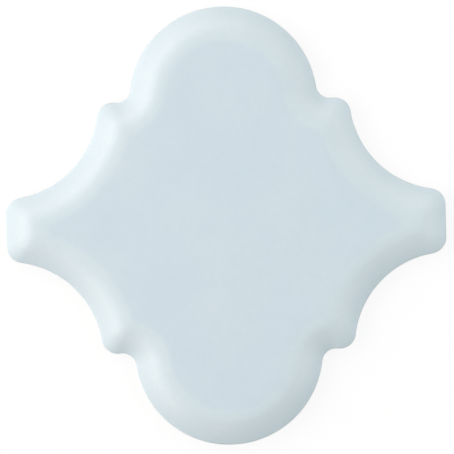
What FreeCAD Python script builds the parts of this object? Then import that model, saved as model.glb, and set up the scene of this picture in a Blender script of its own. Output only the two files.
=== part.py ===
"""Arabesque wall tile: one pressed and fired piece, lying on its back with the glazed face up.

The outline is a closed chain of tangent arcs, and a soft bevel follows it all the way round. The frame's
origin is at the middle of the back, X runs from blunt end to blunt end, Y from lobe to lobe and Z up
through the thickness. Sizes are millimetres and degrees.
"""
import math
import os

import FreeCAD
import Part
from FreeCAD import Vector

# Outline in plan
lobe_radius = 25.6            # round lobe at each end of Y
shoulder_width = 8.8          # step from a lobe's side to the side of the hollow next to it
end_height = 17.2             # blunt end between two hollows, before its corners are rounded
notch_radius = 3.8            # inner corner between lobe and shoulder
shoulder_radius = 4.4         # outer corner between shoulder and hollow
end_corner_radius = 4.6       # outer corner between hollow and blunt end

# Section through the edge
thickness = 8.0               # back to the flat of the face
bevel_width = 8.5             # edge to the start of the flat face
bevel_angle = 25.0            # slope of the bevel
crest_radius = 8.3            # round between the bevel and the flat face
crest_corner_radius = 1.5     # corners of the flat face, where two bevels meet in a soft mitre
crest_end_height = 0.8        # least blunt end that the flat face keeps
rim_radius = 0.6              # round between the bevel and the side wall
back_arris = 0.5              # chamfer round the back

# Keyed back
key_depth = 0.7               # depth of the grooves that take the adhesive
key_width = 6.0               # width of a groove
key_pitch = 11.0              # from groove to groove
key_border = 6.0              # plain border between the grooves and the edge

# A hollow takes the lobe of the next tile, so the two have one radius.
hollow_radius = lobe_radius
half_width = lobe_radius + shoulder_width + hollow_radius
arc_level = hollow_radius + end_height / 2
half_height = arc_level + lobe_radius
round_spans = 3               # spans of the loft over a round of the section


def corner_radius(edge_radius, inset):
    """Radius of an outer corner, shrinking evenly from the edge to the flat face."""
    share = min(inset / bevel_width, 1)
    return edge_radius + (crest_corner_radius - edge_radius) * share


def towards(center, point, radius):
    """Point on a circle in the direction of another point."""
    return center + (point - center).normalize() * radius


def meeting_point(first, first_radius, second, second_radius):
    """Meeting point of two circles, the one to the right of the line from first to second."""
    line = second - first
    gap = line.Length
    along = (first_radius ** 2 - second_radius ** 2 + gap ** 2) / (2 * gap)
    across = math.sqrt(first_radius ** 2 - along ** 2)
    line.normalize()
    return first + line * along + Vector(line.y, -line.x) * across


def quarter_points(inset):
    """End and middle points of the arcs from the blunt end to the lobe, in the +X +Y quarter."""
    lobe = lobe_radius - inset
    notch = notch_radius + inset
    hollow = hollow_radius + inset
    shoulder = corner_radius(shoulder_radius, inset)
    corner = corner_radius(end_corner_radius, inset)

    lobe_center = Vector(0, arc_level)
    hollow_center = Vector(half_width, arc_level)
    notch_reach = lobe_radius + notch_radius
    notch_center = Vector(math.sqrt(notch_reach ** 2 - notch_radius ** 2), arc_level + notch_radius)
    shoulder_center = meeting_point(notch_center, notch + shoulder, hollow_center, hollow + shoulder)
    corner_reach = hollow + corner
    corner_rise = arc_level - math.sqrt(corner_reach ** 2 - (inset + corner) ** 2)
    corner_rise = max(corner_rise, crest_end_height / 2)
    corner_run = math.sqrt(corner_reach ** 2 - (arc_level - corner_rise) ** 2)
    corner_center = Vector(half_width - corner_run, corner_rise)

    joints = [
        corner_center + Vector(corner, 0),
        towards(corner_center, hollow_center, corner),
        towards(shoulder_center, hollow_center, shoulder),
        towards(notch_center, shoulder_center, notch),
        towards(lobe_center, notch_center, lobe),
    ]
    arcs = [(corner_center, corner), (hollow_center, hollow), (shoulder_center, shoulder), (notch_center, notch)]
    points = [joints[0]]
    for (center, radius), start, end in zip(arcs, joints, joints[1:]):
        points.append(towards(center, (start + end) / 2, radius))
        points.append(end)
    return points


def outline(inset, level):
    """Closed outline at a distance inside the tile's edge, at a level above the back."""
    quarter = quarter_points(inset)
    lobe_top = Vector(0, half_height - inset)
    upper = quarter + [lobe_top] + [Vector(-point.x, point.y) for point in reversed(quarter)]
    lower = [Vector(-point.x, -point.y) for point in upper]
    edges = []
    for side, other in ((upper, lower), (lower, upper)):
        for start, middle, end in zip(side[0::2], side[1::2], side[2::2]):
            edges.append(Part.Arc(start, middle, end).toShape())
        edges.append(Part.makeLine(side[-1], other[0]))
    wire = Part.Wire(edges)
    wire.translate(Vector(0, 0, level))
    return wire


def band(levels, ruled):
    """Solid between outlines, each given as an inset and a level."""
    return Part.makeLoft([outline(inset, level) for inset, level in levels], True, ruled)


def tile_body():
    """Wall, bevel and face, stacked band on band from the back up."""
    slope = math.radians(bevel_angle)
    crest_start = bevel_width - crest_radius * math.sin(slope)
    crest_level = thickness - crest_radius * (1 - math.cos(slope))
    edge_level = crest_level - crest_start * math.tan(slope)
    rim_level = edge_level + rim_radius * (math.tan(slope) - 1 / math.cos(slope))

    side = [(back_arris, 0), (0, back_arris)]
    crest = []
    for step in range(round_spans + 1):
        rise = (math.pi / 2 - slope) * step / round_spans
        side.append((rim_radius * (1 - math.cos(rise)), rim_level + rim_radius * math.sin(rise)))
        lean = slope * (1 - step / round_spans)
        inset = bevel_width - crest_radius * math.sin(lean)
        crest.append((inset, thickness - crest_radius * (1 - math.cos(lean))))
    return band(side + crest[:1], True).fuse(band(crest, False))


def key_grooves():
    """Grooves across the back, one each side of a middle rib, kept inside a plain border."""
    field = Part.Face(outline(key_border, 0)).extrude(Vector(0, 0, key_depth))
    reach = math.ceil(half_height / key_pitch)
    grooves = []
    for place in range(-reach, reach):
        middle = (place + 0.5) * key_pitch
        corner = Vector(-half_width, middle - key_width / 2, 0)
        grooves.append(Part.makeBox(2 * half_width, key_width, key_depth, corner))
    return field.common(Part.makeCompound(grooves))


tile = tile_body().cut(key_grooves()).removeSplitter()
os.makedirs("parts", exist_ok=True)
tile.Solids[0].exportStep("parts/arabesque_tile.step")
print("solids", len(tile.Solids), "valid", tile.isValid(), "volume", round(tile.Volume), "faces", len(tile.Faces))
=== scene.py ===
import math

import bmesh
import bpy
from mathutils import Matrix, Vector, noise


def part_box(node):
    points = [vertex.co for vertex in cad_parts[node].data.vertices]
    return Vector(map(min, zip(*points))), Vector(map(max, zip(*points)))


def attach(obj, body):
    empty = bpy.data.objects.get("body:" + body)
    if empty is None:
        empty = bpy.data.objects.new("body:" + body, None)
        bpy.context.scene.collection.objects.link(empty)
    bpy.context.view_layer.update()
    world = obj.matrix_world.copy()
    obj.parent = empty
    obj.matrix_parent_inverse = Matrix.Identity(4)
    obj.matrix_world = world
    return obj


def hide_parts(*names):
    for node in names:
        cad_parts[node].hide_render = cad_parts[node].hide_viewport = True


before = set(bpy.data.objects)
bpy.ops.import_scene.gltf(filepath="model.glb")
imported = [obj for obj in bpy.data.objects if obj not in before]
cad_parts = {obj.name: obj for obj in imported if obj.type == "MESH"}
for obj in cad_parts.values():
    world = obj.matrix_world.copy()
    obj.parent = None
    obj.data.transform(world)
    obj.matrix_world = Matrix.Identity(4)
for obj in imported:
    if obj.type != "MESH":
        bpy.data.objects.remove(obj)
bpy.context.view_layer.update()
mm = 0.001


# Shader maths as plain Python: a Wire is one socket, a Graph is one material's nodes
class Wire:
    def __init__(self, graph, socket):
        self.graph = graph
        self.socket = socket

    def maths(self, operation, *terms):
        return self.graph.node("ShaderNodeMath", {"operation": operation}, dict(enumerate(terms)))

    def __add__(self, other):
        return self.maths("ADD", self, other)

    def __radd__(self, other):
        return self.maths("ADD", other, self)

    def __sub__(self, other):
        return self.maths("SUBTRACT", self, other)

    def __rsub__(self, other):
        return self.maths("SUBTRACT", other, self)

    def __mul__(self, other):
        return self.maths("MULTIPLY", self, other)

    def __rmul__(self, other):
        return self.maths("MULTIPLY", other, self)

    def most(self, other):
        return self.maths("MAXIMUM", self, other)

    def ramp(self, low, high):  # 0 below low, 1 above high, eased between
        settings = {"interpolation_type": "SMOOTHSTEP"}
        sockets = {"Value": self, "From Min": low, "From Max": high}
        return self.graph.node("ShaderNodeMapRange", settings, sockets)


class Graph:
    def __init__(self, owner):
        owner.use_nodes = True
        self.tree = owner.node_tree
        self.tree.nodes.clear()

    def node(self, kind, settings=None, sockets=None, out=0):
        made = self.tree.nodes.new(kind)
        for name, value in (settings or {}).items():
            if name == "stops":
                self.setStops(made.color_ramp.elements, value)
            else:
                setattr(made, name, value)
        for name, value in (sockets or {}).items():
            if isinstance(value, Wire):
                self.tree.links.new(value.socket, made.inputs[name])
            else:
                made.inputs[name].default_value = value
        return Wire(self, made.outputs[out]) if made.outputs else made

    def setStops(self, elements, stops):  # places and colours of a colour ramp
        while len(elements) < len(stops):
            elements.new(1)
        for element, (place, colour) in zip(elements, stops):
            element.position = place
            element.color = colour

    def blend(self, factor, first, second):  # mixes two colours
        sockets = {"Factor": factor, 6: first, 7: second}
        return self.node("ShaderNodeMix", {"data_type": "RGBA"}, sockets, 2)


def srgb(red, green, blue):  # colour as seen on screen, 0 to 255, to scene linear
    linear = []
    for value in (red, green, blue):
        share = value / 255
        linear.append(share / 12.92 if share <= 0.04045 else ((share + 0.055) / 1.055) ** 2.4)
    return (*linear, 1)


# The tile: plan as in the frame, and a section whose slope eases from the bevel to the flat of the face
tile = {
    "thickness": 8.0 * mm,        # back to the flat of the face
    "lobeRadius": 25.6 * mm,
    "notchRadius": 3.8 * mm,
    "shoulderRadius": 4.4 * mm,
    "endRadius": 4.6 * mm,
    "cornerLeast": 0.6 * mm,      # outer corners shrink to this on the way in
    "cornerFade": 11.0 * mm,      # over this inset
    "endLeast": 0.4 * mm,         # half of the shortest blunt end
    "backArris": 0.5 * mm,
    "rimRadius": 0.6 * mm,
    "rimSlope": 27.0,             # bevel's slope at the rim, degrees
    "crestSlope": 22.0,           # at the start of the crest
    "crownSlope": 8.0,            # at the end of the crest
    "crestStart": 5.25 * mm,      # insets where the crest starts and ends and where the face turns flat
    "crestEnd": 7.3 * mm,
    "crownEnd": 10.5 * mm,
    "keyDepth": 0.7 * mm,
    "keyWidth": 6.0 * mm,
    "keyPitch": 11.0 * mm,
    "keyBorder": 6.0 * mm,
    "endSteps": 3,                # steps along each part of a quarter of the outline
    "cornerSteps": 12,
    "hollowSteps": 44,
    "shoulderSteps": 14,
    "notchSteps": 16,
    "lobeSteps": 44,
    "rimSteps": 5,                # steps along each part of the section
    "bevelSteps": 10,
    "crestSteps": 9,
    "crownSteps": 9,
    "faceRings": 14,              # rings from the section to the middle of the face
    "waveHeight": 0.025 * mm,     # slow dips of the fired face
    "waveLength": 17.0 * mm,
    "mergeGap": 1e-6,             # metres, points nearer than this are one
    "levelGap": 1e-7,             # metres, points nearer than this to a level or a cut lie in it
    "sharpEdge": 35.0,            # edges that turn by more than this, in degrees, are drawn sharp
}
tileLow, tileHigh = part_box("arabesque_tile")
halfWidth = (tileHigh.x - tileLow.x) / 2
halfHeight = (tileHigh.y - tileLow.y) / 2
thickness = tile["thickness"]
arcLevel = halfHeight - tile["lobeRadius"]


def circlesMeet(first, firstRadius, second, secondRadius):  # the meeting point right of first to second
    line = second - first
    along = (firstRadius ** 2 - secondRadius ** 2 + line.length_squared) / (2 * line.length)
    across = math.sqrt(firstRadius ** 2 - along ** 2)
    line.normalize()
    return first + line * along + Vector((line.y, -line.x)) * across


def arcCentres(inset):
    fade = min(inset / tile["cornerFade"], 1)
    shoulder = tile["shoulderRadius"] + (tile["cornerLeast"] - tile["shoulderRadius"]) * fade
    end = tile["endRadius"] + (tile["cornerLeast"] - tile["endRadius"]) * fade
    hollow = tile["lobeRadius"] + inset
    notch = tile["notchRadius"] + inset
    lobeAt = Vector((0, arcLevel))
    hollowAt = Vector((halfWidth, arcLevel))
    notchRun = math.sqrt((tile["lobeRadius"] + tile["notchRadius"]) ** 2 - tile["notchRadius"] ** 2)
    notchAt = Vector((notchRun, arcLevel + tile["notchRadius"]))
    shoulderAt = circlesMeet(notchAt, notch + shoulder, hollowAt, hollow + shoulder)
    endRise = arcLevel - math.sqrt((hollow + end) ** 2 - (inset + end) ** 2)
    endRise = max(endRise, tile["endLeast"])
    endRun = math.sqrt((hollow + end) ** 2 - (arcLevel - endRise) ** 2)
    endAt = Vector((halfWidth - endRun, endRise))
    return endAt, end, hollowAt, shoulderAt, notchAt, lobeAt


def bearing(start, goal):
    return math.atan2(goal.y - start.y, goal.x - start.x)


def quarterChain(bm, inset, level):  # edges from the middle of the blunt end to the top of the lobe
    endAt, end, hollowAt, shoulderAt, notchAt, lobeAt = arcCentres(inset)
    toHollow = bearing(endAt, hollowAt)
    toShoulder = bearing(hollowAt, shoulderAt) % (2 * math.pi)
    toNotch = bearing(shoulderAt, notchAt)
    toLobe = bearing(notchAt, lobeAt) % (2 * math.pi)
    turns = [
        (endAt, toHollow, "cornerSteps"),
        (hollowAt, toShoulder - toHollow - math.pi, "hollowSteps"),
        (shoulderAt, toNotch - toShoulder + math.pi, "shoulderSteps"),
        (notchAt, toLobe - toNotch - math.pi, "notchSteps"),
        (lobeAt, math.pi * 1.5 - toLobe, "lobeSteps"),
    ]
    before = set(bm.edges)
    tip = bm.verts.new((endAt.x + end, 0, level))
    for step in range(tile["endSteps"]):
        tip = bmesh.ops.extrude_vert_indiv(bm, verts=[tip])["verts"][0]
        bmesh.ops.translate(bm, vec=(0, endAt.y / tile["endSteps"], 0), verts=[tip])
    for centre, turn, steps in turns:
        made = bmesh.ops.spin(bm, geom=[tip], cent=(centre.x, centre.y, level), axis=(0, 0, 1),
                              angle=turn, steps=tile[steps], use_duplicate=False)
        tip = [item for item in made["geom_last"] if isinstance(item, bmesh.types.BMVert)][0]
    tip.co.x = 0
    return [edge for edge in bm.edges if edge not in before]


def sectionPoints():  # (inset, level) from the back's border up the wall, over bevel and crest to the flat
    stretches = [                 # from the flat outwards: inset and slope at the outer end, steps
        (tile["crestEnd"], tile["crownSlope"], tile["crownSteps"]),
        (tile["crestStart"], tile["crestSlope"], tile["crestSteps"]),
        (0.0, tile["rimSlope"], tile["bevelSteps"]),
    ]
    inset, slope, level = tile["crownEnd"], 0.0, thickness
    points = [(inset, level)]
    for outer, outerSlope, steps in stretches:
        run = (inset - outer) / steps
        for step in range(steps):
            middleSlope = slope + (outerSlope - slope) * (step + 0.5) / steps
            level -= run * math.tan(math.radians(middleSlope))
            points.append((inset - run * (step + 1), level))
        inset, slope = outer, outerSlope
    points.reverse()
    lean = math.radians(tile["rimSlope"])
    radius = tile["rimRadius"]
    rimLevel = level + radius * (math.tan(lean) - 1 / math.cos(lean))
    rim = []
    for step in range(tile["rimSteps"] + 1):
        rise = (math.pi / 2 - lean) * step / tile["rimSteps"]
        rim.append((radius * (1 - math.cos(rise)), rimLevel + radius * math.sin(rise)))
    wall = [(tile["keyBorder"], 0), (tile["backArris"], 0), (0, tile["backArris"])]
    return wall + rim + [point for point in points if point[0] > radius]


def boundaryAt(bm, level):  # open edges of the shell at one level
    return [edge for edge in bm.edges if edge.is_boundary
            and all(abs(vert.co.z - level) < tile["levelGap"] for vert in edge.verts)]


def addFace(bm, chain):  # rings that shrink to the middle of the face
    for ring in range(1, tile["faceRings"] + 1):
        share = 1 - ring / tile["faceRings"]
        last = 1 - (ring - 1) / tile["faceRings"]
        made = bmesh.ops.extrude_edge_only(bm, edges=chain)["geom"]
        verts = [item for item in made if isinstance(item, bmesh.types.BMVert)]
        chain = [item for item in made if isinstance(item, bmesh.types.BMEdge)
                 and all(vert in verts for vert in item.verts)]
        bmesh.ops.scale(bm, vec=(share / last, share / last, 1), verts=verts)


def addKeyedBack(bm):  # grooves for the adhesive, inside the plain border
    for face in bmesh.ops.contextual_create(bm, geom=boundaryAt(bm, 0))["faces"]:
        face.material_index = 1           # marks the field while it is cut into strips
    count = math.ceil(halfHeight / tile["keyPitch"])
    middles = [(place + 0.5) * tile["keyPitch"] for place in range(-count, count)]
    for middle in middles:
        for side in (-1, 1):
            field = [face for face in bm.faces if face.material_index == 1]
            edges = dict.fromkeys(edge for face in field for edge in face.edges)      # each once, in order
            verts = dict.fromkeys(vert for face in field for vert in face.verts)
            bmesh.ops.bisect_plane(bm, geom=[*field, *edges, *verts], dist=tile["levelGap"],
                                   plane_co=(0, middle + side * tile["keyWidth"] / 2, 0), plane_no=(0, 1, 0))
    grooves = []
    for face in bm.faces:
        level = face.calc_center_bounds().y
        if face.material_index == 1 and any(abs(level - middle) < tile["keyWidth"] / 2 for middle in middles):
            grooves.append(face)
    made = bmesh.ops.extrude_face_region(bm, geom=grooves)["geom"]
    bmesh.ops.delete(bm, geom=[face for face in grooves if face.is_valid], context="FACES_ONLY")
    bmesh.ops.translate(bm, vec=(0, 0, tile["keyDepth"]),
                        verts=[item for item in made if isinstance(item, bmesh.types.BMVert)])
    for face in bm.faces:
        face.material_index = 0


def buildTile():
    bm = bmesh.new()
    chains = [quarterChain(bm, inset, level) for inset, level in sectionPoints()]
    for lower, upper in zip(chains, chains[1:]):
        bmesh.ops.bridge_loops(bm, edges=lower + upper)
    addFace(bm, chains[-1])
    for axis in ("X", "Y"):
        bmesh.ops.mirror(bm, geom=bm.verts[:] + bm.edges[:] + bm.faces[:], matrix=Matrix.Identity(4),
                         merge_dist=tile["mergeGap"], axis=axis)
    bmesh.ops.remove_doubles(bm, verts=bm.verts[:], dist=tile["mergeGap"])
    addKeyedBack(bm)
    bmesh.ops.recalc_face_normals(bm, faces=bm.faces[:])
    for vert in bm.verts:
        if vert.co.z > thickness / 2:                 # the back and the lower wall stay plain
            place = vert.co / tile["waveLength"]
            depth = noise.noise(place) / 2 - 0.5      # only downwards, so the tile keeps its size
            vert.co.z += depth * tile["waveHeight"] * (vert.co.z / thickness)
    for face in bm.faces:
        face.smooth = True
    for edge in bm.edges:
        edge.smooth = len(edge.link_faces) == 2 and edge.calc_face_angle() < math.radians(tile["sharpEdge"])
    mesh = bpy.data.meshes.new("arabesqueTile")
    bm.to_mesh(mesh)
    bm.free()
    piece = bpy.data.objects.new("arabesqueTile", mesh)
    bpy.context.scene.collection.objects.link(piece)
    return piece


glaze = {
    "levels": [                   # height over the back, and the glaze's colour there, with a painted highlight at the crest
        (5.6 * mm, srgb(204, 217, 222)),      # pools on the bevel
        (7.0 * mm, srgb(210, 221, 225)),      # paler over the crest: thinner glaze and a painted highlight
        (7.95 * mm, srgb(205, 218, 223)),
        (8.0 * mm, srgb(201, 214, 222)),      # lies deepest on the flat
    ],
    "deepColour": srgb(120, 165, 190),
    "mottle": 0.05,               # share of the deep colour in slow clouds, where the glaze lies thicker
    "speckle": 0.025,             # and in the hollows of the orange peel
    "roughness": 0.45,
    "coat": 0.8,
    "coatRoughness": 0.38,
    "sheen": 0.0,                 # the coat has all the gloss, and the coloured layer under it none
    "cloudScale": 80,             # noise scales, in waves to a metre
    "peelScale": 700,
    "runScale": 140,
    "noiseRange": (0.3, 0.7),     # clouds and speckle come in between these values of their noise
    "peel": 0.01 * mm,            # depth of the orange peel
    "line": 1.7 * mm,             # the glaze stops about this far above the back
    "lineWave": 0.6 * mm,
    "lineFade": 0.3 * mm,
}
body = {
    "colour": srgb(226, 219, 207),
    "darkColour": srgb(211, 202, 188),
    "roughness": 0.85,
    "grainScale": 2600,
    "pitScale": 900,
    "grainRange": (0.35, 0.68),   # the dark colour comes in between these values of the grain
    "pitRange": (0.0, 0.35),
    "grain": 0.05 * mm,           # depth of the clay's grain and pits
}


def tileMaterial():
    material = bpy.data.materials.new("paleBlueGlaze")
    graph = Graph(material)
    place = graph.node("ShaderNodeTexCoord", out="Object")
    height = graph.node("ShaderNodeSeparateXYZ", {}, {0: place}, 2)
    clouds = graph.node("ShaderNodeTexNoise", {}, {
        "Vector": place, "Scale": glaze["cloudScale"], "Detail": 6, "Roughness": 0.65})
    peel = graph.node("ShaderNodeTexNoise", {}, {"Vector": place, "Scale": glaze["peelScale"], "Detail": 1})
    runs = graph.node("ShaderNodeTexNoise", {}, {"Vector": place, "Scale": glaze["runScale"], "Detail": 3})
    grain = graph.node("ShaderNodeTexNoise", {}, {"Vector": place, "Scale": body["grainScale"], "Detail": 3})
    pits = graph.node("ShaderNodeTexVoronoi", {}, {"Vector": place, "Scale": body["pitScale"]})
    wave = (runs - 0.5) * (2 * glaze["lineWave"])
    glazed = (height - glaze["line"] + wave).ramp(0, glaze["lineFade"])      # 1 on the glaze, 0 on bare clay
    # glaze colour by height: the paler crest stop is partly a painted highlight, partly thinner glaze
    stops = [(level / thickness, colour) for level, colour in glaze["levels"]]
    glazeWithCrestHighlight = graph.node("ShaderNodeValToRGB", {"stops": stops}, {0: height * (1 / thickness)})
    low, high = glaze["noiseRange"]
    thicker = clouds.ramp(low, high) * glaze["mottle"] + (1 - peel.ramp(low, high)) * glaze["speckle"]
    blue = graph.blend(thicker, glazeWithCrestHighlight, glaze["deepColour"])
    clay = graph.blend(grain.ramp(*body["grainRange"]), body["colour"], body["darkColour"])
    colour = graph.blend(glazed, clay, blue)
    roughness = glazed * (glaze["roughness"] - body["roughness"]) + body["roughness"]
    bare = 1 - glazed
    clayRelief = grain + pits.ramp(*body["pitRange"])
    relief = peel * glazed * glaze["peel"] + clayRelief * bare * body["grain"]
    normal = graph.node("ShaderNodeBump", {}, {"Strength": 1.0, "Distance": 1.0, "Height": relief})
    shader = graph.node("ShaderNodeBsdfPrincipled", {}, {
        "Base Color": colour, "Roughness": roughness, "Normal": normal,
        "Specular IOR Level": glaze["sheen"],
        "Coat Weight": glazed * glaze["coat"], "Coat Roughness": glaze["coatRoughness"], "Coat IOR": 1.5})
    graph.node("ShaderNodeOutputMaterial", {}, {"Surface": shader})
    return material


tilePiece = buildTile()
tilePiece.data.materials.append(tileMaterial())
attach(tilePiece, "root")
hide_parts("arabesque_tile")
print("tile built:", len(tilePiece.data.polygons), "faces")


studio = {
    "floorSize": 1.6,
    "floorDrop": 0.02 * mm,       # just clear of the tile's back
    "floorColour": srgb(250, 250, 250),
    "cleanFloor": 0.85,           # share of the floor's white that no shadow reaches
    "ambient": 0.05,
    "boxDistance": 0.8,
    "main": {"width": 1.1, "colour": srgb(255, 249, 246)},
    "fill": {"width": 0.75, "colour": srgb(250, 254, 255)},
    "softboxes": [                # azimuth from +X, elevation, watts, kind
        (0, 44, 3.5, "fill"),
        (45, 28, 1.1, "fill"),
        (135, 28, 4.5, "main"),
        (180, 28, 7.6, "main"),
        (225, 62, 1.3, "fill"),
    ],
}


def makeFloor():
    bm = bmesh.new()
    bmesh.ops.create_grid(bm, x_segments=1, y_segments=1, size=studio["floorSize"] / 2)
    mesh = bpy.data.meshes.new("floor")
    bm.to_mesh(mesh)
    bm.free()
    floor = bpy.data.objects.new("floor", mesh)
    floor.location.z = -studio["floorDrop"]
    bpy.context.scene.collection.objects.link(floor)
    material = bpy.data.materials.new("whiteFloor")
    graph = Graph(material)
    path = [graph.node("ShaderNodeLightPath", out=ray) for ray in
            ("Is Camera Ray", "Is Glossy Ray", "Is Transmission Ray")]
    seen = path[0].most(path[1]).most(path[2])
    lit = graph.node("ShaderNodeBsdfDiffuse", {}, {"Color": studio["floorColour"]})
    white = graph.node("ShaderNodeEmission", {}, {"Color": (1, 1, 1, 1), "Strength": 1.0})
    mixed = graph.node("ShaderNodeMixShader", {}, {0: seen * studio["cleanFloor"], 1: lit, 2: white})
    graph.node("ShaderNodeOutputMaterial", {}, {"Surface": mixed})
    mesh.materials.append(material)


def makeWorld():
    world = bpy.data.worlds.new("studioWorld")
    bpy.context.scene.world = world
    graph = Graph(world)
    camera = graph.node("ShaderNodeLightPath", out="Is Camera Ray")
    strength = camera * (1 - studio["ambient"]) + studio["ambient"]
    background = graph.node("ShaderNodeBackground", {}, {"Color": (1, 1, 1, 1), "Strength": strength})
    graph.node("ShaderNodeOutputWorld", {}, {"Surface": background})


def makeSoftboxes():
    for number, (azimuth, elevation, watts, kind) in enumerate(studio["softboxes"]):
        light = bpy.data.lights.new(f"softbox{number}", "AREA")
        light.shape = "SQUARE"
        light.size = studio[kind]["width"]
        light.color = studio[kind]["colour"][:3]
        light.energy = watts
        lamp = bpy.data.objects.new(light.name, light)
        turn, rise = math.radians(azimuth), math.radians(elevation)
        way = Vector((math.cos(rise) * math.cos(turn), math.cos(rise) * math.sin(turn), math.sin(rise)))
        lamp.location = way * studio["boxDistance"]
        lamp.rotation_euler = way.to_track_quat("Z", "Y").to_euler()
        bpy.context.scene.collection.objects.link(lamp)


view = {
    "lens": 200.0,                # lens and sensor in millimetres
    "sensor": 36.0,
    "rimLevel": 4.7 * mm,         # about the level of the tile's rim, where its outline lies
    "pixelsPerMm": 3.6654,        # the tile's scale at that level, in the 454 by 454 picture
    "picture": 454,
    "tileCentre": (226.18, 225.61),
    "tileTurn": 1.337,            # degrees, counter-clockwise in the picture
}


def makeCamera():
    data = bpy.data.cameras.new("camera")
    data.lens = view["lens"]
    data.sensor_width = view["sensor"]
    camera = bpy.data.objects.new("camera", data)
    pixel = mm / view["pixelsPerMm"]
    middle = view["picture"] / 2
    aside = Vector(((middle - view["tileCentre"][0]) * pixel, (view["tileCentre"][1] - middle) * pixel, 0))
    roll = math.radians(-view["tileTurn"])
    distance = view["picture"] * pixel * data.lens / data.sensor_width
    camera.location = Matrix.Rotation(roll, 3, "Z") @ aside + Vector((0, 0, view["rimLevel"] + distance))
    camera.rotation_euler = (0, 0, roll)
    bpy.context.scene.collection.objects.link(camera)
    bpy.context.scene.camera = camera


makeFloor()
makeWorld()
makeSoftboxes()
makeCamera()
bpy.context.scene.view_settings.view_transform = "Standard"
print("studio ready:", len(studio["softboxes"]), "softboxes")
